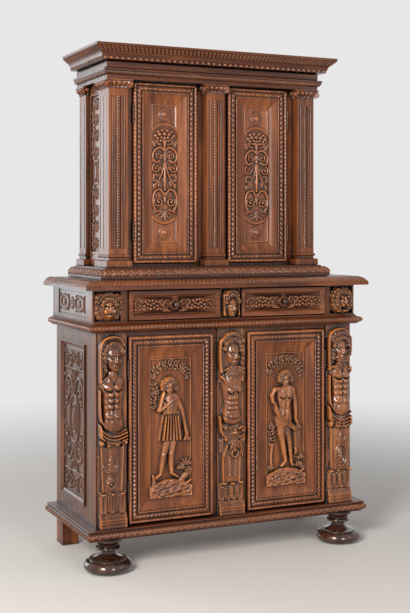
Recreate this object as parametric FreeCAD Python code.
import FreeCAD, Part

import math
import os

Vec = FreeCAD.Vector

# Heights of the storeys, from the floor up
foot_height = 127.0
base_height = 42.0
lower_door_height = 732.0
lower_rail_height = 16.0
waist_height = 40.0
drawer_bay_height = 125.0
table_thickness = 34.0
upper_base_height = 47.0
upper_bottom_rail_height = 11.0
upper_door_height = 738.0
architrave_height = 40.0
frieze_height = 33.0
cornice_height = 60.0

# Plan sizes of the carcases; every back lies in one plane against the wall
table_width = 1260.0
table_depth = 554.0
lower_width = 1144.0
lower_depth = 498.0
bay_width = 1176.0
bay_depth = 502.0
upper_width = 942.0
upper_depth = 365.0
front_pilaster_projection = 43.0
side_pilaster_projection = 16.0

# How far the mouldings stand out from the carcase below or above them
base_projection = 48.0
waist_projection = 39.0
upper_base_projection = 52.0
architrave_projection = 28.0
frieze_projection = 8.0
corona_projection = 40.0
crown_projection = 75.5

# Widths of the moulding frames, measured inwards from the carcase face
base_inset = 42.0
waist_inset = 51.0
upper_base_inset = 68.0
architrave_inset = 72.0
frieze_inset = 11.0
cornice_inset = 24.0

# Boards
side_thickness = 24.0
lower_stile_thickness = 28.0
upper_stile_thickness = 24.0
post_thickness = 40.0
floor_thickness = 18.0
shelf_thickness = 18.0
back_thickness = 12.0
dust_board_thickness = 18.0
top_board_thickness = 14.0
ceiling_drop = 18.0
cover_drop = 22.0

# Front stiles
lower_centre_stile_width = 148.0
lower_outer_stile_width = 128.0
upper_centre_stile_width = 137.0
upper_outer_stile_width = 98.5
bay_centre_post_width = 92.0
bay_end_post_width = 145.5

# Doors
door_gap = 3.0
door_thickness = 21.0
lower_door_setback = 0.0
upper_door_setback = 6.0
frame_member_width = 60.0
panel_thickness = 10.0
panel_setback = 7.0
groove_depth = 8.0
groove_clearance = 0.3
lower_moulding_width = 90.0
upper_moulding_width = 84.0
moulding_crest = 13.0

# Butt hinges
hinge_height = 78.0
hinge_inset = 90.0
knuckle_radius = 3.5
hinge_pin_radius = 1.5
hinge_running_clearance = 0.05
hinge_side_clearance = 0.5
leaf_thickness = 1.2
leaf_depth = 18.0
knuckle_lead = 0.5

# Side frames
lower_side_front_stile_width = 93.0
lower_side_rear_stile_width = 68.0
lower_side_bottom_rail_width = 58.0
lower_side_top_rail_width = 56.0
side_panel_thickness = 12.0
side_moulding_width = 24.0
side_moulding_height = 15.0
upper_side_front_stile_width = 82.0
upper_side_rear_stile_width = 104.0
upper_side_bottom_rail_width = 60.0
upper_side_top_rail_width = 44.0
side_panel_setback = 8.0

# Shelves and cleats
lower_shelf_rise = 372.0
upper_shelf_rise = 378.0
shelf_front_gap = 10.0
cleat_size = 18.0
cleat_front_gap = 30.0

# Bun feet and block feet
bun_radius = 95.0
bun_bottom_radius = 74.0
bun_bottom_bulge = 4.0
bun_middle_height = 22.0
bun_height = 46.0
bun_top_bulge = 7.0
bun_ledge_radius = 72.0
bun_ledge_thickness = 6.0
foot_neck_radius = 27.0
foot_neck_height = 70.0
foot_neck_length = 10.0
foot_dish_sag = 5.0
foot_collar_radius = 47.0
foot_collar_height = 88.0
foot_collar_thickness = 7.0
foot_waist_radius = 40.0
foot_cap_radius = 56.0
foot_cap_thickness = 8.0
foot_dowel_radius = 14.0
foot_dowel_length = 25.0
foot_dowel_clearance = 0.2
foot_side_inset = 53.0
foot_front_inset = 9.5
block_foot_width = 70.0
block_foot_depth = 80.0

# Pilasters
pilaster_width = 82.0
side_front_pilaster_width = 72.0
side_rear_pilaster_width = 83.0
pedestal_height = 75.0
capital_height = 66.0
pilaster_edge_band = 11.0
flute_width = 11.0
flute_depth = 5.0
rope_channel_width = 22.0
rope_channel_depth = 4.0
pedestal_step = 20.0
pedestal_roll_height = 28.0
pedestal_roll_bulge = 11.0
pedestal_neck_height = 24.0
pedestal_torus_height = 12.0
pedestal_torus_bulge = 5.5
capital_neck_height = 40.0
capital_flare = 17.0
capital_top_height = 6.0
volute_radius = 14.0
volute_thickness = 13.0
volute_reach = 10.0

# Herms
herm_width = 118.0
herm_plate_thickness = 8.0
herm_projection = 41.0
herm_plinth_height = 57.0
herm_lobe_height = 87.0
herm_crown_gap = 35.0
herm_torso_height = 268.0
herm_head_height = 148.0
herm_head_width = 100.0
herm_neck_lap = 10.0
herm_hood_radius = 57.0
herm_hood_thickness = 10.0
herm_hood_projection = 26.0
herm_hood_drop = 120.0
herm_lobe_radius = 27.0
herm_spike_radius = 9.0

# Masks
mask_rise = 4.0
mask_height = 113.0
corner_mask_width = 108.0
centre_mask_width = 74.0
mask_projection = 36.0
mask_hair_projection = 24.0
mask_face_width_share = 0.62
mask_face_height_share = 0.80
mask_face_drop_share = 0.08
mask_outer_inset = 8.0

# Drawers
drawer_top_gap = 8.0
drawer_side_gap = 2.5
drawer_front_thickness = 22.0
drawer_front_lead = 11.0
drawer_front_bevel = 6.0
drawer_field_margin = 16.0
drawer_wall = 12.0
drawer_bottom_thickness = 8.0
drawer_bottom_rise = 4.0
drawer_box_inset = 2.0
drawer_box_height = 90.0
drawer_box_length = 408.0
runner_height = 5.0
runner_width = 16.0
guide_width = 20.0
guide_height = 20.0
guide_clearance = 1.0

# Knobs
knob_radius = 11.0
knob_length = 24.0
knob_neck_radius = 5.5
knob_neck_length = 8.0
knob_collar_radius = 8.5
knob_collar_length = 2.5
knob_dowel_radius = 4.0
knob_dowel_length = 12.0

# Relief left plain for the carver: rosettes, arches and figure grounds
rosette_radius = 25.0
rosette_rise = 5.0
rosette_boss_radius = 15.0
rosette_boss_rise = 12.0
rosette_button_radius = 4.0
upper_square_height = 84.0
arch_rise = 30.0
arch_band_width = 7.0
arch_band_rise = 4.0
figure_ground_height = 70.0
figure_ground_rise = 9.0

overrun = 5.0

# Levels and planes that follow from the sizes above
half_turn = 180.0
quarter_turn = 90.0
overall_depth = lower_depth - foot_front_inset + bun_radius
back_y = overall_depth / 2
base_z = foot_height
lower_z = base_z + base_height
waist_z = lower_z + lower_door_height + 2 * door_gap + lower_rail_height
bay_z = waist_z + waist_height
table_z = bay_z + drawer_bay_height
upper_base_z = table_z + table_thickness
upper_z = upper_base_z + upper_base_height
upper_case_height = upper_bottom_rail_height + upper_door_height + 2 * door_gap
architrave_z = upper_z + upper_case_height
frieze_z = architrave_z + architrave_height
cornice_z = frieze_z + frieze_height
lower_half = lower_width / 2
bay_half = bay_width / 2
upper_half = upper_width / 2
upper_case_half = upper_half - side_pilaster_projection
lower_front = back_y - lower_depth
bay_front = back_y - bay_depth
upper_front = back_y - upper_depth
upper_stile_front = upper_front + front_pilaster_projection


def box(x0, x1, y0, y1, z0, z1):
    """Box between two corners."""
    return Part.makeBox(x1 - x0, y1 - y0, z1 - z0, Vec(x0, y0, z0))


def arc_middle(start, end):
    """Middle point of the arc that ends at end = (out, along, bulge), bulging to growing out."""
    run_out, run_along = end[0] - start[0], end[1] - start[1]
    length = math.hypot(run_out, run_along)
    normal = (run_along / length, -run_out / length)
    if normal[0] < 0 or (normal[0] == 0 and normal[1] < 0):
        normal = (-normal[0], -normal[1])
    return ((start[0] + end[0]) / 2 + end[2] * normal[0],
            (start[1] + end[1]) / 2 + end[2] * normal[1])


def spans_of(points):
    """Straight and arched spans (start, middle or None, end) through an outline's points."""
    spans = []
    for start, end in zip(points, points[1:]):
        middle = arc_middle(start, end) if len(end) == 3 else None
        spans.append((start[:2], middle, end[:2]))
    return spans


def face_of(spans, place):
    """Flat face inside closed spans; place(u, v) gives each point in space."""
    edges = []
    for start, middle, end in spans:
        if middle is None:
            edges.append(Part.makeLine(place(*start), place(*end)))
        else:
            edges.append(Part.Arc(place(*start), place(*middle), place(*end)).toShape())
    return Part.Face(Part.Wire(edges))


def closed(points):
    """Closed spans round a polygon given by its points."""
    return spans_of(points + [points[0][:2]])


def plan_prism(points, z0, z1):
    """Upright prism over a polygon of (x, y) points."""
    face = face_of(closed(points), lambda u, v: Vec(u, v, z0))
    return face.extrude(Vec(0, 0, z1 - z0))


def front_prism(points, y0, y1):
    """Prism over a polygon of (x, z) points, running back from y0 to y1."""
    face = face_of(closed(points), lambda u, v: Vec(u, y0, v))
    return face.extrude(Vec(0, y1 - y0, 0))


def turned(points, origin, direction):
    """Body turned from an outline of (radius, along) points about direction through origin."""
    spans = spans_of(points)
    spans.append((points[-1][:2], None, points[0][:2]))
    face = face_of(spans, lambda u, v: Vec(u, 0, v))
    solid = face.revolve(Vec(0, 0, 0), Vec(0, 0, 1), 2 * half_turn)
    solid.Placement = FreeCAD.Placement(origin, FreeCAD.Rotation(Vec(0, 0, 1), direction))
    return solid


def mirrored(shape):
    """Copy on the other side of the middle plane."""
    return shape.mirror(Vec(0, 0, 0), Vec(1, 0, 0))


def both_sides(shapes):
    """A list of left-hand shapes followed by their right-hand copies."""
    return shapes + [mirrored(shape) for shape in shapes]


def on_left_side(shape, half):
    """Turns a piece built facing the front, from the back plane at x = 0, onto the left side."""
    turned_shape = shape.copy()
    turned_shape.rotate(Vec(0, 0, 0), Vec(0, 0, 1), -quarter_turn)
    turned_shape.translate(Vec(-half, back_y, 0))
    return turned_shape


def save(node, shapes):
    """Writes one sub-part, a single solid or a group of solids, as its STEP file."""
    solid = shapes[0] if len(shapes) == 1 else Part.makeCompound(shapes)
    solid.exportStep(f"parts/{node}.step")


def moulded_block(profile, z0, x0, x1, y0, y1, moulded=("left", "right", "front")):
    """Block with a moulded profile on the named sides and mitred corners between them.

    The profile's points are (out, height) from the bottom up. It is the common part of one
    prism with the profile at its two ends across and one with the profile at front and back.
    """
    shaped = spans_of(profile)
    plain = spans_of([(0, profile[0][1]), (0, profile[-1][1])])
    reach = max(point[0] for point in profile) + overrun

    def across(low, high, low_spans, high_spans, place):
        def moved(point, edge, sign):
            return None if point is None else (edge + sign * point[0], z0 + point[1])
        up = [tuple(moved(point, high, 1) for point in span) for span in high_spans]
        down = [tuple(moved(point, low, -1) for point in reversed(span))
                for span in reversed(low_spans)]
        joined = up + [(up[-1][2], None, down[0][0])] + down + [(down[-1][2], None, up[0][0])]
        return face_of(joined, place)

    def side(name):
        return shaped if name in moulded else plain

    crosswise = across(x0, x1, side("left"), side("right"), lambda u, v: Vec(u, y0 - reach, v))
    lengthwise = across(y0, y1, side("front"), side("back"), lambda u, v: Vec(x0 - reach, u, v))
    first = crosswise.extrude(Vec(0, y1 - y0 + 2 * reach, 0))
    second = lengthwise.extrude(Vec(x1 - x0 + 2 * reach, 0, 0))
    return first.common(second)


def moulding_frame(profile, z0, half, front, inset):
    """Moulding round the front and both sides of a carcase: three lengths mitred together."""
    reach = max(point[0] for point in profile) + overrun
    section = spans_of(profile)
    top, bottom = profile[-1], profile[0]
    section += [(top[:2], None, (-inset, top[1])), ((-inset, top[1]), None, (-inset, bottom[1])),
                ((-inset, bottom[1]), None, bottom[:2])]
    outer_x, outer_y = half + reach, front - reach
    inner_x, inner_y = half - inset, front + inset

    long_face = face_of(section, lambda u, v: Vec(-outer_x, front - u, z0 + v))
    long_piece = long_face.extrude(Vec(2 * outer_x, 0, 0))
    wedge = plan_prism([(-outer_x, outer_y), (outer_x, outer_y), (inner_x, inner_y),
                        (-inner_x, inner_y)], z0 - overrun, z0 + top[1] + overrun)
    side_face = face_of(section, lambda u, v: Vec(-half - u, outer_y, z0 + v))
    side_piece = side_face.extrude(Vec(0, back_y - outer_y, 0))
    side_wedge = plan_prism([(-outer_x, outer_y), (-inner_x, inner_y), (-inner_x, back_y),
                             (-outer_x, back_y)], z0 - overrun, z0 + top[1] + overrun)
    return [long_piece.common(wedge)] + both_sides([side_piece.common(side_wedge)])


def picture_frame(section, x0, x1, z0, z1, y, width):
    """Four mitred lengths of moulding round a rectangle, their backs in the plane y.

    The section's points are (out, across), across measured inwards from the rectangle's edge.
    """
    spans = closed(section)
    reach = max(point[0] for point in section) + overrun
    low = min(point[0] for point in section) - overrun
    pieces = []
    for edge, sign in ((x0, 1), (x1, -1)):
        face = face_of(spans, lambda u, v, e=edge, s=sign: Vec(e + s * v, y - u, z0))
        wedge = front_prism([(edge, z0), (edge + sign * width, z0 + width),
                             (edge + sign * width, z1 - width), (edge, z1)], y - reach, y - low)
        pieces.append(face.extrude(Vec(0, 0, z1 - z0)).common(wedge))
    for edge, sign in ((z0, 1), (z1, -1)):
        face = face_of(spans, lambda u, v, e=edge, s=sign: Vec(x0, y - u, e + s * v))
        wedge = front_prism([(x0, edge), (x0 + width, edge + sign * width),
                             (x1 - width, edge + sign * width), (x1, edge)], y - reach, y - low)
        pieces.append(face.extrude(Vec(x1 - x0, 0, 0)).common(wedge))
    return pieces


def framed_panel(x0, x1, z0, z1, y, thickness, widths, panel_front, panel_depth):
    """Two stiles and two rails, grooved on their inner edges, and the panel that they hold."""
    left, right, bottom, top = widths
    panel = box(x0 + left - groove_depth, x1 - right + groove_depth, panel_front,
                panel_front + panel_depth, z0 + bottom - groove_depth, z1 - top + groove_depth)
    groove = box(x0 + left - groove_depth - groove_clearance,
                 x1 - right + groove_depth + groove_clearance,
                 panel_front, panel_front + panel_depth,
                 z0 + bottom - groove_depth - groove_clearance,
                 z1 - top + groove_depth + groove_clearance)
    members = [box(x0, x0 + left, y, y + thickness, z0, z1),
               box(x1 - right, x1, y, y + thickness, z0, z1),
               box(x0 + left, x1 - right, y, y + thickness, z0, z0 + bottom),
               box(x0 + left, x1 - right, y, y + thickness, z1 - top, z1)]
    return [member.cut(groove) for member in members], panel


ellipse_limit_share = 0.98


def elliptic_loft(cx, y, z0, height, half_width, depth, shares):
    """Rounded body on a flat back in the plane y, lofted through level ellipses.

    Each row of shares holds a height, a half width and a depth, as shares of the body's own.
    """
    rings = []
    for height_share, width_share, depth_share in shares:
        level = Vec(cx, y, z0 + height * height_share)
        wide = half_width * width_share
        deep = min(depth * depth_share, wide * ellipse_limit_share)
        ring = Part.Ellipse(level + Vec(wide, 0, 0), level + Vec(0, -deep, 0), level)
        rings.append(Part.Wire([ring.toShape()]))
    body = Part.makeLoft(rings, True, False)
    front_half = box(cx - half_width - overrun, cx + half_width + overrun, y - depth - overrun, y,
                     z0 - overrun, z0 + height + overrun)
    return body.common(front_half)


# Feet

def bun_foot(cx, cy):
    """Turned foot: a squat bun with a raised rim, a dished top, a neck, a collar and a flaring cap."""
    ledge_z = bun_height + bun_ledge_thickness
    neck_top_z = foot_neck_height + foot_neck_length
    collar_top_z = foot_collar_height + foot_collar_thickness
    outline = [(0, 0), (bun_bottom_radius, 0),
               (bun_radius, bun_middle_height, bun_bottom_bulge),
               (bun_ledge_radius, bun_height, bun_top_bulge),
               (bun_ledge_radius, ledge_z),
               (bun_ledge_radius - bun_ledge_thickness, ledge_z),
               (foot_neck_radius, foot_neck_height, -foot_dish_sag),
               (foot_neck_radius, neck_top_z), (foot_collar_radius, foot_collar_height),
               (foot_collar_radius, collar_top_z, foot_collar_thickness / 4),
               (foot_waist_radius, collar_top_z),
               (foot_cap_radius, foot_height - foot_cap_thickness, -foot_cap_thickness / 2),
               (foot_cap_radius, foot_height),
               (foot_dowel_radius, foot_height),
               (foot_dowel_radius, foot_height + foot_dowel_length),
               (0, foot_height + foot_dowel_length)]
    return turned(outline, Vec(cx, cy, 0), Vec(0, 0, 1))


foot_x = lower_half - foot_side_inset
foot_y = lower_front + foot_front_inset


def block_feet():
    """Two plain square feet under the back corners."""
    left = box(-lower_half, -lower_half + block_foot_width, back_y - block_foot_depth, back_y,
               0, foot_height)
    return both_sides([left])


# Mouldings that run round the front and the sides

base_lip = 8.0
base_lip_inset = 8.0
base_nose = 5.0
base_bead_height = 7.0
base_groove = 3.0


def base_moulding():
    """Base: a plain lip, a broad rounded band, a groove and a top bead, bored for the feet."""
    face = base_projection - base_nose
    bead_z = base_height - base_bead_height
    profile = [(face - base_lip_inset, 0), (face - base_lip_inset, base_lip), (face, base_lip),
               (face, bead_z - base_groove, base_nose), (face - base_groove, bead_z - base_groove),
               (face - base_groove, bead_z), (face - base_groove / 2, bead_z),
               (face - base_groove / 2, base_height, base_groove / 2)]
    pieces = moulding_frame(profile, base_z, lower_half, lower_front, base_inset)
    for x in (-foot_x, foot_x):
        hole = Part.makeCylinder(foot_dowel_radius + foot_dowel_clearance,
                                 foot_dowel_length + foot_dowel_clearance + overrun,
                                 Vec(x, foot_y, base_z - overrun))
        pieces[0] = pieces[0].cut(hole)
    return pieces


waist_lip = 7.0
waist_nose = 11.0
waist_nose_height = 22.0
waist_cove = 14.0


def waist_moulding():
    """Waist: a lip, a rounded nose carved with leaves and a hollow up to the drawers."""
    face = waist_projection - waist_nose
    profile = [(face - waist_lip, 0), (face, waist_lip),
               (face, waist_lip + waist_nose_height, waist_nose),
               (face - waist_cove, waist_height, -waist_cove / 6)]
    return moulding_frame(profile, waist_z, lower_half, lower_front, waist_inset)


table_band = 12.0
table_slope = 35.0


def table_top():
    """Slab with a plain lower band and a carved slope above it on three edges."""
    profile = [(0, 0), (0, table_band),
               (-table_slope, table_thickness, (table_thickness - table_band) / 4)]
    return moulded_block(profile, table_z, -table_width / 2, table_width / 2,
                         back_y - table_depth, back_y)


upper_base_lip = 3.0
upper_base_undercut = 8.0
upper_base_fillet = 4.0
upper_base_ledge = 15.0
upper_base_ledge_drop = 5.0


def upper_base_moulding():
    """Base of the upper case: a toe fillet, a swelling leaf-carved band and a flat ledge."""
    toe = upper_base_projection
    fillet_z = upper_base_lip + upper_base_fillet
    ledge_z = upper_base_height - upper_base_ledge_drop
    profile = [(toe - upper_base_undercut, 0), (toe - upper_base_undercut, upper_base_lip),
               (toe, upper_base_lip), (toe, fillet_z),
               (pedestal_step + upper_base_ledge, ledge_z, upper_base_fillet),
               (pedestal_step + upper_base_ledge / 5, ledge_z),
               (pedestal_step + upper_base_ledge / 5, upper_base_height)]
    return moulding_frame(profile, upper_base_z, upper_half, upper_front, upper_base_inset)


architrave_top_fillet = 8.0
architrave_ovolo = 16.0
architrave_fascia = 12.0


def architrave():
    """Architrave: a plain fascia, a carved quarter round and a top fillet."""
    ovolo_z = architrave_height - architrave_top_fillet - architrave_ovolo
    fillet_z = architrave_height - architrave_top_fillet
    step = architrave_projection - architrave_fascia
    profile = [(architrave_fascia, 0), (architrave_fascia, ovolo_z),
               (architrave_projection - step / 5, fillet_z, step / 5),
               (architrave_projection, fillet_z), (architrave_projection, architrave_height)]
    return moulding_frame(profile, architrave_z, upper_half, upper_front, architrave_inset)


frieze_bulge = 8.0


def frieze():
    """Cushion frieze, front and returns: its face swells out in one arc."""
    profile = [(frieze_projection, 0), (frieze_projection, frieze_height, frieze_bulge)]
    return moulding_frame(profile, frieze_z, upper_half, upper_front, frieze_inset)


corona_height = 11.0
crown_fillet = 9.0
crown_neck = 3.0
crown_break_share = 0.62
crown_bend_share = 0.46


def cornice():
    """Cornice: a dart-carved corona, a hollow, a tongue-carved slope and a top fillet."""
    fillet_z = cornice_height - crown_fillet
    rise = fillet_z - corona_height
    flare = crown_projection - corona_projection - crown_neck
    profile = [(frieze_projection, 0), (corona_projection, 0),
               (corona_projection, corona_height),
               (corona_projection + crown_neck, corona_height),
               (corona_projection + crown_neck + flare * crown_bend_share,
                corona_height + rise * crown_break_share, -crown_neck),
               (crown_projection, fillet_z), (crown_projection, cornice_height)]
    return moulding_frame(profile, cornice_z, upper_half, upper_front, cornice_inset)


# Boards, stiles, rails and shelves

lower_open_inner = lower_centre_stile_width / 2
lower_open_outer = lower_half - lower_outer_stile_width
upper_open_inner = upper_centre_stile_width / 2
upper_open_outer = upper_case_half - upper_outer_stile_width
base_inner_x = lower_half - base_inset
base_inner_y = lower_front + base_inset
waist_inner_x = lower_half - waist_inset
waist_inner_y = lower_front + waist_inset
upper_base_inner_x = upper_half - upper_base_inset
upper_base_inner_y = upper_front + upper_base_inset
bay_post_inner = bay_half - bay_end_post_width


def floor_boards():
    """Floor of each cupboard, level with the top of the moulding that frames it."""
    lower = box(-base_inner_x, base_inner_x, base_inner_y, back_y, lower_z - floor_thickness,
                lower_z)
    upper = box(-upper_base_inner_x, upper_base_inner_x, upper_base_inner_y, back_y,
                upper_z - floor_thickness, upper_z)
    return [lower, upper]


def dust_board():
    """Board under the drawers, level with the top of the waist moulding."""
    return box(-waist_inner_x, waist_inner_x, waist_inner_y, back_y,
               bay_z - dust_board_thickness, bay_z)


def face_frame(half, inner, outer, y, thickness, z0, z1, rails):
    """Three stiles and the rails between them, given as pairs of levels."""
    pieces = [box(-half, -outer, y, y + thickness, z0, z1),
              box(-inner, inner, y, y + thickness, z0, z1),
              box(outer, half, y, y + thickness, z0, z1)]
    for low, high in rails:
        pieces += both_sides([box(-outer, -inner, y, y + thickness, low, high)])
    return pieces


def lower_face_frame():
    """Front stiles of the lower case and the thin rails over its doors."""
    rails = [(waist_z - lower_rail_height, waist_z)]
    return face_frame(lower_half, lower_open_inner, lower_open_outer, lower_front,
                      lower_stile_thickness, lower_z, waist_z, rails)


def upper_face_frame():
    """Front stiles of the upper case and the thin rails under its doors."""
    rails = [(upper_z, upper_z + upper_bottom_rail_height)]
    return face_frame(upper_case_half, upper_open_inner, upper_open_outer, upper_stile_front,
                      upper_stile_thickness, upper_z, architrave_z, rails)


def drawer_posts():
    """End posts and centre post that carry the table top and the masks."""
    end = box(-bay_half, -bay_post_inner, bay_front, bay_front + post_thickness, bay_z, table_z)
    centre = box(-bay_centre_post_width / 2, bay_centre_post_width / 2, bay_front,
                 bay_front + post_thickness, bay_z, table_z)
    return both_sides([end]) + [centre]


bay_side_recess = 4.0
bay_side_margin = 12.0
bay_side_front_margin = 35.0
bay_side_rear_margin = 78.0


def bay_sides():
    """Side boards of the drawer bay, each with a shallow sunk field."""
    length = back_y - bay_front - post_thickness
    board = box(0, length, 0, side_thickness, bay_z, table_z)
    field = box(bay_side_rear_margin, length - bay_side_front_margin, -overrun,
                bay_side_recess, bay_z + bay_side_margin, table_z - bay_side_margin)
    return both_sides([on_left_side(board.cut(field), bay_half)])


lower_inner_x = lower_half - side_thickness
bay_inner_x = bay_half - side_thickness
upper_inner_x = upper_case_half - side_thickness
lower_stile_back = lower_front + lower_stile_thickness
upper_stile_back = upper_stile_front + upper_stile_thickness


def back_boards():
    """Back of each storey, flush with the rear edges of the sides."""
    front = back_y - back_thickness
    return [box(-lower_inner_x, lower_inner_x, front, back_y, lower_z, waist_z),
            box(-bay_inner_x, bay_inner_x, front, back_y, bay_z, table_z),
            box(-upper_inner_x, upper_inner_x, front, back_y, upper_z, architrave_z)]


lower_shelf_z = lower_z + lower_shelf_rise
upper_shelf_z = upper_z + upper_shelf_rise


def shelves():
    """One shelf in each cupboard, resting on its cleats."""
    back = back_y - back_thickness
    lower = box(-lower_inner_x, lower_inner_x, lower_stile_back + shelf_front_gap, back,
                lower_shelf_z, lower_shelf_z + shelf_thickness)
    upper = box(-upper_inner_x, upper_inner_x, upper_stile_back + shelf_front_gap, back,
                upper_shelf_z, upper_shelf_z + shelf_thickness)
    return [lower, upper]


def shelf_cleats():
    """Strips on the side frames under the ends of the shelves."""
    back = back_y - back_thickness
    lower = box(-lower_inner_x, -lower_inner_x + cleat_size, lower_stile_back + cleat_front_gap,
                back, lower_shelf_z - cleat_size, lower_shelf_z)
    upper = box(-upper_inner_x, -upper_inner_x + cleat_size, upper_stile_back + cleat_front_gap,
                back, upper_shelf_z - cleat_size, upper_shelf_z)
    return both_sides([lower, upper])


def top_boards():
    """Ceiling of the upper cupboard and the cover inside the cornice."""
    ceiling = box(-upper_inner_x, upper_inner_x, upper_stile_back, back_y - back_thickness,
                  architrave_z - ceiling_drop, architrave_z - ceiling_drop + top_board_thickness)
    cornice_inner_x = upper_half - cornice_inset
    cover_z = cornice_z + cornice_height - cover_drop
    cover = box(-cornice_inner_x, cornice_inner_x, upper_front + cornice_inset, back_y,
                cover_z, cover_z + top_board_thickness)
    return [ceiling, cover]


# Side frames and panels, built facing the front from the back plane and turned onto the sides

def lower_side():
    """Left side of the lower case: four frame members, the panel and its mitred moulding."""
    length = back_y - lower_stile_back
    widths = (lower_side_rear_stile_width, lower_side_front_stile_width,
              lower_side_bottom_rail_width, lower_side_top_rail_width)
    panel_front = side_thickness - side_panel_thickness
    members, panel = framed_panel(0, length, lower_z, waist_z, 0, side_thickness, widths,
                                  panel_front - side_panel_setback / 2, side_panel_thickness)
    section = [(0, 0), (side_moulding_height, 0),
               (side_moulding_height, side_moulding_width / 3),
               (side_moulding_height / 3, side_moulding_width - groove_clearance,
                -side_moulding_height / 6),
               (0, side_moulding_width)]
    moulding = picture_frame(section, widths[0], length - widths[1], lower_z + widths[2],
                             waist_z - widths[3], panel_front - side_panel_setback / 2,
                             side_moulding_width)
    place = [on_left_side(shape, lower_half) for shape in members + [panel] + moulding]
    return place[:len(members)], place[len(members)], place[len(members) + 1:]


def upper_side():
    """Left side of the upper case: four frame members and the narrow panel."""
    length = back_y - upper_stile_back
    widths = (upper_side_rear_stile_width, upper_side_front_stile_width,
              upper_side_bottom_rail_width, upper_side_top_rail_width)
    members, panel = framed_panel(0, length, upper_z, architrave_z, 0, side_thickness, widths,
                                  side_panel_setback, side_panel_thickness)
    return ([on_left_side(member, upper_case_half) for member in members],
            on_left_side(panel, upper_case_half))


# Pilasters

shaft_z = upper_z + pedestal_height
capital_z = architrave_z - capital_height


def fluted_shaft(x0, x1, y0, y1, centred_rope):
    """Flat shaft with two round flutes and, on the front ones, a rope moulding in a channel."""
    shaft = box(x0, x1, y0, y1, shaft_z, capital_z)
    height = capital_z - shaft_z
    flute_radius = (flute_width ** 2 / 4 + flute_depth ** 2) / (2 * flute_depth)
    for centre in (x0 + pilaster_edge_band + flute_width / 2,
                   x1 - pilaster_edge_band - flute_width / 2):
        flute = Part.makeCylinder(flute_radius, height + 2 * overrun,
                                  Vec(centre, y0 + flute_depth - flute_radius,
                                      shaft_z - overrun))
        shaft = shaft.cut(flute)
    if centred_rope:
        middle = (x0 + x1) / 2
        half = rope_channel_width / 2
        channel = box(middle - half, middle + half, y0 - overrun, y0 + rope_channel_depth,
                      shaft_z - overrun, capital_z + overrun)
        rope = Part.makeCylinder(half - rope_channel_depth / 2, height,
                                 Vec(middle, y0 + half - rope_channel_depth / 2, shaft_z))
        keep = box(x0, x1, y0, y1, shaft_z, capital_z)
        shaft = shaft.cut(channel).fuse(rope.common(keep)).removeSplitter()
    return shaft


def pedestal(x0, x1, y0, y1, moulded):
    """Plain stepped foot of a pilaster with one small torus."""
    roll = pedestal_step - pedestal_roll_bulge
    torus_z = pedestal_height - pedestal_neck_height - pedestal_torus_height
    profile = [(roll, 0), (roll, pedestal_roll_height, pedestal_roll_bulge),
               (0, pedestal_roll_height), (0, torus_z),
               (0, torus_z + pedestal_torus_height, pedestal_torus_bulge),
               (0, pedestal_height)]
    return moulded_block(profile, upper_z, x0, x1, y0, y1, moulded)


def capital(x0, x1, y0, y1, moulded, corners):
    """Plain neck, flaring bell and a volute at each free corner, lying across the diagonal."""
    lip_z = capital_height - capital_top_height
    profile = [(0, 0), (0, capital_neck_height),
               (capital_flare - capital_top_height / 2, lip_z, capital_flare / 5),
               (capital_flare, lip_z), (capital_flare, capital_height)]
    block = moulded_block(profile, capital_z, x0, x1, y0, y1, moulded)
    centre_z = architrave_z - volute_radius - capital_top_height
    for x, y, sign_x, sign_y in corners:
        diagonal = Vec(sign_x, sign_y, 0).normalize()
        across = Vec(-sign_y, sign_x, 0).normalize()
        centre = Vec(x, y, centre_z) + diagonal * volute_reach
        scroll = Part.makeCylinder(volute_radius, volute_thickness,
                                   centre - across * (volute_thickness / 2), across)
        block = block.fuse(scroll)
    return block


def pilasters():
    """Shafts, pedestals and capitals of the three front and four side pilasters."""
    outer, inner = -upper_half, -upper_half + pilaster_width
    centre = pilaster_width / 2
    y0, y1 = upper_front, upper_stile_front
    front_shafts = both_sides([fluted_shaft(outer, inner, y0, y1, True)])
    front_shafts.append(fluted_shaft(-centre, centre, y0, y1, True))

    length = back_y - upper_stile_front
    side_places = ((0, side_rear_pilaster_width), (length - side_front_pilaster_width, length))
    depth = side_pilaster_projection
    side_shafts = [on_left_side(fluted_shaft(low, high, 0, depth, False), upper_half)
                   for low, high in side_places]

    pedestals = both_sides([pedestal(outer, inner, y0, y1, ("left", "right", "front"))])
    pedestals.append(pedestal(-centre, centre, y0, y1, ("left", "right", "front")))
    rear, front = side_places
    side_pedestals = [pedestal(rear[0], rear[1], 0, depth, ("right", "front")),
                      pedestal(front[0], front[1], 0, depth, ("left", "front"))]
    pedestals += both_sides([on_left_side(shape, upper_half) for shape in side_pedestals])

    corner_volutes = ((outer, y0, -1, -1), (inner, y0, 1, -1))
    centre_volutes = ((-centre, y0, -1, -1), (centre, y0, 1, -1))
    capitals = both_sides([capital(outer, inner, y0, y1, ("left", "right", "front"),
                                   corner_volutes)])
    capitals.append(capital(-centre, centre, y0, y1, ("left", "right", "front"),
                            centre_volutes))
    rear_volutes = ((rear[1], 0, 1, -1),)
    front_volutes = ((front[0], 0, -1, -1),)
    side_capitals = [capital(rear[0], rear[1], 0, depth, ("right", "front"), rear_volutes),
                     capital(front[0], front[1], 0, depth, ("left", "front"), front_volutes)]
    capitals += both_sides([on_left_side(shape, upper_half) for shape in side_capitals])
    return front_shafts, both_sides(side_shafts), pedestals, capitals


# Herms and masks

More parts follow.
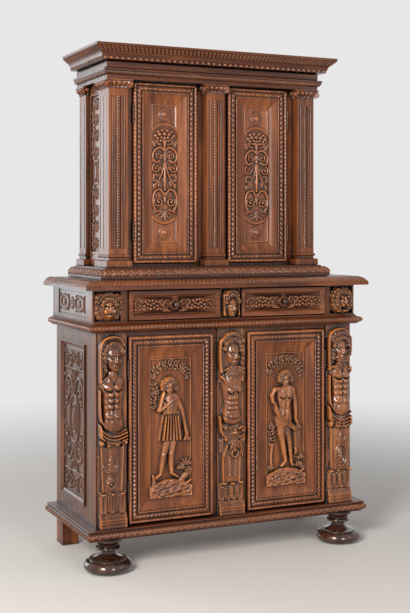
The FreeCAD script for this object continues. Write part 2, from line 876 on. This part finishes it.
torso_shares = ((0.0, 0.62, 0.58), (0.12, 0.84, 0.80), (0.26, 0.78, 0.96), (0.42, 0.66, 0.92),
                (0.62, 0.72, 0.95), (0.80, 0.90, 1.0), (0.92, 0.97, 0.84), (1.0, 0.50, 0.60))
head_shares = ((0.0, 0.42, 0.60), (0.12, 0.54, 0.88), (0.28, 0.82, 1.0), (0.55, 1.0, 1.0),
               (0.80, 0.92, 0.88), (1.0, 0.42, 0.40))
lobe_shares = ((0.0, 0.86, 0.86), (0.8, 1.0, 1.0), (1.0, 0.6, 0.6))
gaine_foot_share = 0.72
gaine_head_share = 0.80
gaine_foot_depth_share = 0.42
gaine_head_depth_share = 0.60
plinth_depth_share = 0.60
lobe_depth_share = 0.62


def tapering_block(cx, y, z0, z1, foot, head):
    """Pedestal that widens upwards, lofted between two rectangles on the plane y."""
    wires = []
    for level, (width, depth) in ((z0, foot), (z1, head)):
        corners = [Vec(cx - width / 2, y, level), Vec(cx + width / 2, y, level),
                   Vec(cx + width / 2, y - depth, level), Vec(cx - width / 2, y - depth, level)]
        wires.append(Part.makePolygon(corners + corners[:1]))
    return Part.makeLoft(wires, True, True)


def hood(cx, y, z, radius, thickness, depth, drop):
    """Arched hood round the back of a head: a half ring carried down on two cheeks."""
    ring = Part.makeCylinder(radius, depth, Vec(cx, y - depth, z), Vec(0, 1, 0))
    hollow = Part.makeCylinder(radius - thickness, depth + 2 * overrun,
                               Vec(cx, y - depth - overrun, z), Vec(0, 1, 0))
    upper = box(cx - radius, cx + radius, y - depth, y, z, z + radius)
    arch = ring.cut(hollow).common(upper)
    for sign in (-1, 1):
        near = cx + sign * (radius - thickness)
        far = cx + sign * radius
        arch = arch.fuse(box(min(near, far), max(near, far), y - depth, y, z - drop, z))
    return arch


def herm(cx, hooded):
    """Term figure: plinth, leaf lobes, tapering pedestal, torso and head on a back plate."""
    half = herm_width / 2
    plate = box(cx - half, cx + half, lower_front - herm_plate_thickness, lower_front,
                lower_z, waist_z)
    y = lower_front - herm_plate_thickness
    depth = herm_projection - herm_plate_thickness
    step = herm_plinth_height / 4
    plinth_depth = depth * plinth_depth_share
    plinth_profile = [(0, 0), (0, 2 * step), (-step / 2, 2 * step),
                      (-step / 2, 4 * step, step / 3)]
    body = plate.fuse(moulded_block(plinth_profile, lower_z, cx - half + step / 2,
                                    cx + half - step / 2, y - plinth_depth, y))
    lobe_z = lower_z + herm_plinth_height
    for place, radius in ((-herm_lobe_radius, herm_lobe_radius), (0, herm_spike_radius),
                          (herm_lobe_radius, herm_lobe_radius)):
        body = body.fuse(elliptic_loft(cx + place, y, lobe_z, herm_lobe_height, radius,
                                       depth * lobe_depth_share, lobe_shares))
    gaine_z = lobe_z + herm_lobe_height
    torso_z = (waist_z - herm_crown_gap - herm_head_height + herm_neck_lap
               - herm_torso_height)
    body = body.fuse(tapering_block(cx, y, gaine_z, torso_z,
                                    (herm_width * gaine_foot_share,
                                     depth * gaine_foot_depth_share),
                                    (herm_width * gaine_head_share,
                                     depth * gaine_head_depth_share)))
    torso = elliptic_loft(cx, y, torso_z, herm_torso_height, half, depth, torso_shares)
    head_z = torso_z + herm_torso_height - herm_neck_lap
    head = elliptic_loft(cx, y, head_z, herm_head_height, herm_head_width / 2, depth,
                         head_shares)
    body = body.fuse(torso).fuse(head)
    if hooded:
        hood_z = waist_z - herm_hood_radius - herm_plate_thickness
        body = body.fuse(hood(cx, y, hood_z, herm_hood_radius, herm_hood_thickness,
                              herm_hood_projection - herm_plate_thickness, herm_hood_drop))
    return body


mask_dome_shares = ((0.0, 1.0), (0.35, 0.95), (0.7, 0.74), (0.92, 0.42), (1.0, 0.16))


def upright_dome(cx, cz, width, height, projection):
    """Oval dome standing out of the drawer posts, lofted through upright ovals."""
    rings = []
    for depth_share, size_share in mask_dome_shares:
        centre = Vec(cx, bay_front - projection * depth_share, cz)
        tall = centre + Vec(0, 0, height / 2 * size_share)
        wide = centre + Vec(width / 2 * size_share, 0, 0)
        rings.append(Part.Wire([Part.Ellipse(tall, wide, centre).toShape()]))
    return Part.makeLoft(rings, True, False)


def mask(cx, width):
    """Mask in the rough: a broad dome of hair with the longer oval of the face before it."""
    cz = bay_z + mask_rise + mask_height / 2
    hair = upright_dome(cx, cz, width, mask_height, mask_hair_projection)
    face = upright_dome(cx, cz - mask_height * mask_face_drop_share,
                        width * mask_face_width_share, mask_height * mask_face_height_share,
                        mask_projection)
    return hair.fuse(face)


# Drawers

drawer_z = bay_z + runner_height
drawer_front_height = drawer_bay_height - runner_height - drawer_top_gap
drawer_x0 = -bay_post_inner + drawer_side_gap
drawer_x1 = -bay_centre_post_width / 2 - drawer_side_gap
drawer_front_y = bay_front - drawer_front_lead
drawer_box_y = drawer_front_y + drawer_front_thickness
knob_x = (drawer_x0 + drawer_x1) / 2
knob_z = drawer_z + drawer_front_height / 2


def drawer_front():
    """Front with a sunk field inside a bevelled border, bored for the knob's dowel."""
    board = box(drawer_x0, drawer_x1, drawer_front_y, drawer_box_y, drawer_z,
                drawer_z + drawer_front_height)
    section = (drawer_field_margin, drawer_field_margin + drawer_front_bevel)
    outer, inner = [], []
    for margin, ring, y in ((section[0], outer, drawer_front_y),
                            (section[1], inner, drawer_front_y + drawer_front_bevel)):
        ring += [Vec(drawer_x0 + margin, y, drawer_z + margin),
                 Vec(drawer_x1 - margin, y, drawer_z + margin),
                 Vec(drawer_x1 - margin, y, drawer_z + drawer_front_height - margin),
                 Vec(drawer_x0 + margin, y, drawer_z + drawer_front_height - margin)]
    sunk = Part.makeLoft([Part.makePolygon(ring + ring[:1]) for ring in (outer, inner)],
                         True, True)
    field_y = drawer_front_y + drawer_front_bevel
    hole = Part.makeCylinder(knob_dowel_radius, knob_dowel_length + overrun,
                             Vec(knob_x, field_y - overrun, knob_z), Vec(0, 1, 0))
    return board.cut(sunk).cut(hole)


def drawer_box():
    """Two sides, a back and a bottom held between them."""
    x0, x1 = drawer_x0 + drawer_box_inset, drawer_x1 - drawer_box_inset
    y0, y1 = drawer_box_y, drawer_box_y + drawer_box_length
    top = drawer_z + drawer_box_height
    bottom_z = drawer_z + drawer_bottom_rise
    sides = [box(x0, x0 + drawer_wall, y0, y1, drawer_z, top),
             box(x1 - drawer_wall, x1, y0, y1, drawer_z, top)]
    back = box(x0 + drawer_wall, x1 - drawer_wall, y1 - drawer_wall, y1,
               bottom_z + drawer_bottom_thickness, top)
    bottom = box(x0 + drawer_wall, x1 - drawer_wall, y0, y1, bottom_z,
                 bottom_z + drawer_bottom_thickness)
    return sides + [back, bottom]


def knob():
    """Turned knob with a dowel let into the front."""
    neck_end = knob_collar_length + knob_neck_length
    outline = [(0, -knob_dowel_length), (knob_dowel_radius, -knob_dowel_length),
               (knob_dowel_radius, 0), (knob_collar_radius, 0),
               (knob_collar_radius, knob_collar_length), (knob_neck_radius, neck_end),
               (knob_radius, (neck_end + knob_length) / 2, knob_collar_length / 2),
               (knob_neck_radius, knob_length, knob_collar_length / 2), (0, knob_length)]
    origin = Vec(knob_x, drawer_front_y + drawer_front_bevel, knob_z)
    return turned(outline, origin, Vec(0, -1, 0))


def drawer_runners():
    """Strips that the drawer sides slide on and the guides beside them."""
    y0, y1 = bay_front + post_thickness, back_y - back_thickness
    box_x0, box_x1 = drawer_x0 + drawer_box_inset, drawer_x1 - drawer_box_inset
    outer = box_x0 - guide_clearance
    runners = [box(box_x0, box_x0 + runner_width, y0, y1, bay_z, drawer_z),
               box(box_x1 - runner_width, box_x1, y0, y1, bay_z, drawer_z),
               box(outer - guide_width, outer, y0, y1, bay_z, bay_z + guide_height)]
    middle = -box_x1 - guide_clearance
    return both_sides(runners) + [box(-middle, middle, y0, y1, bay_z, bay_z + guide_height)]


# Doors and their hinges; each is made as the left-hand door and mirrored for the right

lower_door = {
    "x0": -lower_open_outer + door_gap, "x1": -lower_open_inner - door_gap,
    "z0": lower_z + door_gap, "height": lower_door_height,
    "y": lower_front + lower_door_setback, "width": lower_moulding_width}
upper_door = {
    "x0": -upper_open_outer + door_gap, "x1": -upper_open_inner - door_gap,
    "z0": upper_z + upper_bottom_rail_height + door_gap, "height": upper_door_height,
    "y": upper_stile_front - upper_door_setback, "width": upper_moulding_width}

roll_share = 0.16
roll_groove_share = 0.21
bead_end_share = 0.38
fillet_start_share = 0.44
fillet_end_share = 0.52
slope_start_share = 0.56
slope_end_share = 0.93
groove_height_share = 0.35
bead_height_share = 0.62
fillet_height_share = 0.85
slope_height_share = 0.70
slope_sag_share = 0.10
roll_shoulder_share = 0.55


def door_section(width):
    """Section of the door moulding from its outer edge: roll, bead band, fillet, slope, lip."""
    crest, roll = moulding_crest, width * roll_share
    shoulder = crest * roll_shoulder_share
    groove = crest * groove_height_share
    lip = -panel_setback
    return [(0, 0), (shoulder, 0), (shoulder, roll, crest - shoulder), (groove, roll),
            (groove, width * roll_groove_share),
            (crest * bead_height_share, width * roll_groove_share),
            (crest * bead_height_share, width * bead_end_share),
            (groove, width * bead_end_share), (groove, width * fillet_start_share),
            (crest * fillet_height_share, width * fillet_start_share),
            (crest * fillet_height_share, width * fillet_end_share),
            (crest * slope_height_share, width * fillet_end_share),
            (crest * slope_height_share, width * slope_start_share),
            (lip + groove, width * slope_end_share, -crest * slope_sag_share),
            (lip + groove, width), (lip, width), (lip, frame_member_width),
            (0, frame_member_width)]


def hinge_axis(door):
    """Foot of a door's hinge line: half way over the gap, just in front of the crest."""
    return Vec(door["x0"] - door_gap / 2, door["y"] - moulding_crest - knuckle_lead, 0)


def hinge_levels(door):
    """Lower ends of a door's two hinges."""
    return (door["z0"] + hinge_inset, door["z0"] + door["height"] - hinge_inset - hinge_height)


def knuckle(axis, radius, low, high):
    """Upright cylinder on a hinge line between two levels."""
    return Part.makeCylinder(radius, high - low, Vec(axis.x, axis.y, low))


def hinge(axis, z, stile_front, door_front):
    """Case leaf with its outer knuckles, door leaf with its middle knuckle, and the pin."""
    third = hinge_height / 3
    half_gap = door_gap / 2
    levels = [z + step * third for step in range(4)]
    case_leaf = box(axis.x - half_gap, axis.x - half_gap + leaf_thickness, axis.y,
                    stile_front + leaf_depth, z, z + hinge_height)
    door_leaf = box(axis.x + half_gap - leaf_thickness, axis.x + half_gap, axis.y,
                    door_front + leaf_depth, z, z + hinge_height)
    clear = knuckle_radius + hinge_side_clearance
    bore = hinge_pin_radius + hinge_running_clearance
    outer_pairs = ((levels[0], levels[1]), (levels[2], levels[3]))
    inner_low = levels[1] + hinge_running_clearance
    inner_high = levels[2] - hinge_running_clearance
    case_leaf = case_leaf.cut(knuckle(axis, clear, levels[1], levels[2]))
    for low, high in outer_pairs:
        case_leaf = case_leaf.fuse(knuckle(axis, knuckle_radius, low, high))
        door_leaf = door_leaf.cut(knuckle(axis, clear, low - hinge_running_clearance,
                                          high + hinge_running_clearance))
    door_leaf = door_leaf.fuse(knuckle(axis, knuckle_radius, inner_low, inner_high))
    case_leaf = case_leaf.cut(knuckle(axis, hinge_pin_radius, z, z + hinge_height))
    door_leaf = door_leaf.cut(knuckle(axis, bore, z, z + hinge_height))
    pin = knuckle(axis, hinge_pin_radius, z, z + hinge_height)
    return case_leaf, door_leaf, pin


def door_pieces(door):
    """Frame members, mitred moulding and plain panel of one left-hand door."""
    x0, x1, z0, y = door["x0"], door["x1"], door["z0"], door["y"]
    z1 = z0 + door["height"]
    widths = (frame_member_width,) * 4
    members, panel = framed_panel(x0, x1, z0, z1, y, door_thickness, widths,
                                  y + panel_setback, panel_thickness)
    moulding = picture_frame(door_section(door["width"]), x0, x1, z0, z1, y, door["width"])
    axis = hinge_axis(door)
    clear = knuckle_radius + hinge_side_clearance
    for z in hinge_levels(door):
        room = knuckle(axis, clear, z - hinge_side_clearance,
                       z + hinge_height + hinge_side_clearance)
        moulding[0] = moulding[0].cut(room)
    return members, moulding, panel


def rosette(cx, cz, y):
    """Turned rosette: a flat ring and a domed boss."""
    rim = rosette_radius - rosette_rise
    outline = [(0, 0), (rosette_radius, 0), (rosette_radius, rosette_rise / 2),
               (rim, rosette_rise, rosette_rise / 6), (rosette_boss_radius, rosette_rise / 2),
               (rosette_button_radius, rosette_boss_rise, rosette_boss_rise / 4),
               (0, rosette_boss_rise)]
    return turned(outline, Vec(cx, y, cz), Vec(0, -1, 0))


def arch_band(cx, cz, y, half_span, sign):
    """Raised band along a flat arc with its crown at height cz; sign 1 bulges upwards."""
    foot = cz - sign * arch_rise
    inner = foot - sign * arch_band_width
    outline = [((-half_span, foot), (0, cz), (half_span, foot)),
               ((half_span, foot), None, (half_span, inner)),
               ((half_span, inner), (0, cz - sign * arch_band_width), (-half_span, inner)),
               ((-half_span, inner), None, (-half_span, foot))]
    face = face_of(outline, lambda u, v: Vec(cx + u, y - arch_band_rise, v))
    return face.extrude(Vec(0, arch_band_rise, 0))


def upper_panel(panel):
    """Upper door panel with its two rosettes and the arches that close their fields."""
    x0, x1 = upper_door["x0"], upper_door["x1"]
    cx = (x0 + x1) / 2
    y = upper_door["y"] + panel_setback
    half = (x1 - x0) / 2 - upper_moulding_width
    low = upper_door["z0"] + upper_moulding_width
    high = upper_door["z0"] + upper_door_height - upper_moulding_width
    square = upper_square_height
    ornaments = []
    for cz, arch_z, sign in ((low + square / 2, low + square, -1),
                             (high - square / 2, high - square, 1)):
        ornaments += [rosette(cx, cz, y), arch_band(cx, arch_z, y, half, sign)]
    return panel.fuse(ornaments)


def lower_panel(panel):
    """Lower door panel with the low mound of ground that its figure stands on."""
    x0, x1 = lower_door["x0"], lower_door["x1"]
    cx = (x0 + x1) / 2
    y = lower_door["y"] + panel_setback
    half = (x1 - x0) / 2 - lower_moulding_width
    low = lower_door["z0"] + lower_moulding_width
    outline = closed([(0, -half), (0, half),
                      (figure_ground_height / 2, half),
                      (figure_ground_height / 2, -half, figure_ground_height / 3)])
    face = face_of(outline, lambda u, v: Vec(cx + v, y - figure_ground_rise, low + u))
    return panel.fuse(face.extrude(Vec(0, figure_ground_rise, 0)))


def write_doors():
    """Saves the four doors with their leaves, and the case leaves and pins of all hinges."""
    case_leaves, pins = [], []
    for name, door, carve, stile_front in (("lower", lower_door, lower_panel, lower_front),
                                           ("upper", upper_door, upper_panel,
                                            upper_stile_front)):
        members, moulding, panel = door_pieces(door)
        axis = hinge_axis(door)
        hinges = [hinge(axis, z, stile_front, door["y"]) for z in hinge_levels(door)]
        leaves = [parts[1] for parts in hinges]
        case_leaves += [parts[0] for parts in hinges]
        pins += [parts[2] for parts in hinges]
        panel = carve(panel)
        for side, copy in (("left", lambda shape: shape), ("right", mirrored)):
            save(f"{name}_{side}_door_frame", [copy(shape) for shape in members])
            save(f"{name}_{side}_door_moulding", [copy(shape) for shape in moulding])
            save(f"{name}_{side}_door_panel", [copy(panel)])
            save(f"{name}_{side}_door_leaves", [copy(shape) for shape in leaves])
    save("hinge_case_leaves", both_sides(case_leaves))
    save("hinge_pins", both_sides(pins))


def write_lower_case():
    """Saves the feet, the lower case and its figures."""
    foot = bun_foot(-foot_x, foot_y)
    save("bun_foot_left", [foot])
    save("bun_foot_right", [mirrored(foot)])
    save("rear_block_feet", block_feet())
    save("base_moulding", base_moulding())
    save("floor_boards", floor_boards())
    save("lower_face_frame", lower_face_frame())
    members, panel, moulding = lower_side()
    save("lower_side_frames", both_sides(members))
    save("lower_side_mouldings", both_sides(moulding))
    save("lower_side_panels", both_sides([panel]))
    outer = lower_half - (lower_outer_stile_width - herm_width) / 2 - herm_width / 2
    save("herm_left", [herm(-outer, True)])
    save("herm_centre", [herm(0, False)])
    save("herm_right", [herm(outer, True)])
    save("waist_moulding", waist_moulding())
    save("dust_board", [dust_board()])


def write_drawer_bay():
    """Saves the drawer bay with its masks and drawers, and the table top."""
    save("drawer_posts", drawer_posts())
    save("drawer_bay_sides", bay_sides())
    save("drawer_runners", drawer_runners())
    corner = bay_half - mask_outer_inset - corner_mask_width / 2
    save("mask_left", [mask(-corner, corner_mask_width)])
    save("mask_centre", [mask(0, centre_mask_width)])
    save("mask_right", [mask(corner, corner_mask_width)])
    for side, copy in (("left", lambda shape: shape), ("right", mirrored)):
        save(f"{side}_drawer_front", [copy(drawer_front())])
        save(f"{side}_drawer_box", [copy(shape) for shape in drawer_box()])
        save(f"{side}_drawer_knob", [copy(knob())])
    save("table_top", [table_top()])


def write_upper_case():
    """Saves the upper case, its pilasters and the entablature."""
    save("upper_base_moulding", upper_base_moulding())
    save("upper_face_frame", upper_face_frame())
    members, panel = upper_side()
    save("upper_side_frames", both_sides(members))
    save("upper_side_panels", both_sides([panel]))
    front_shafts, side_shafts, pedestals, capitals = pilasters()
    save("front_pilaster_shafts", front_shafts)
    save("side_pilaster_shafts", side_shafts)
    save("pilaster_pedestals", pedestals)
    save("pilaster_capitals", capitals)
    save("back_boards", back_boards())
    save("shelves", shelves())
    save("shelf_cleats", shelf_cleats())
    save("top_boards", top_boards())
    save("architrave", architrave())
    save("frieze", frieze())
    save("cornice", cornice())


os.makedirs("parts", exist_ok=True)
write_lower_case()
write_drawer_bay()
write_upper_case()
write_doors()
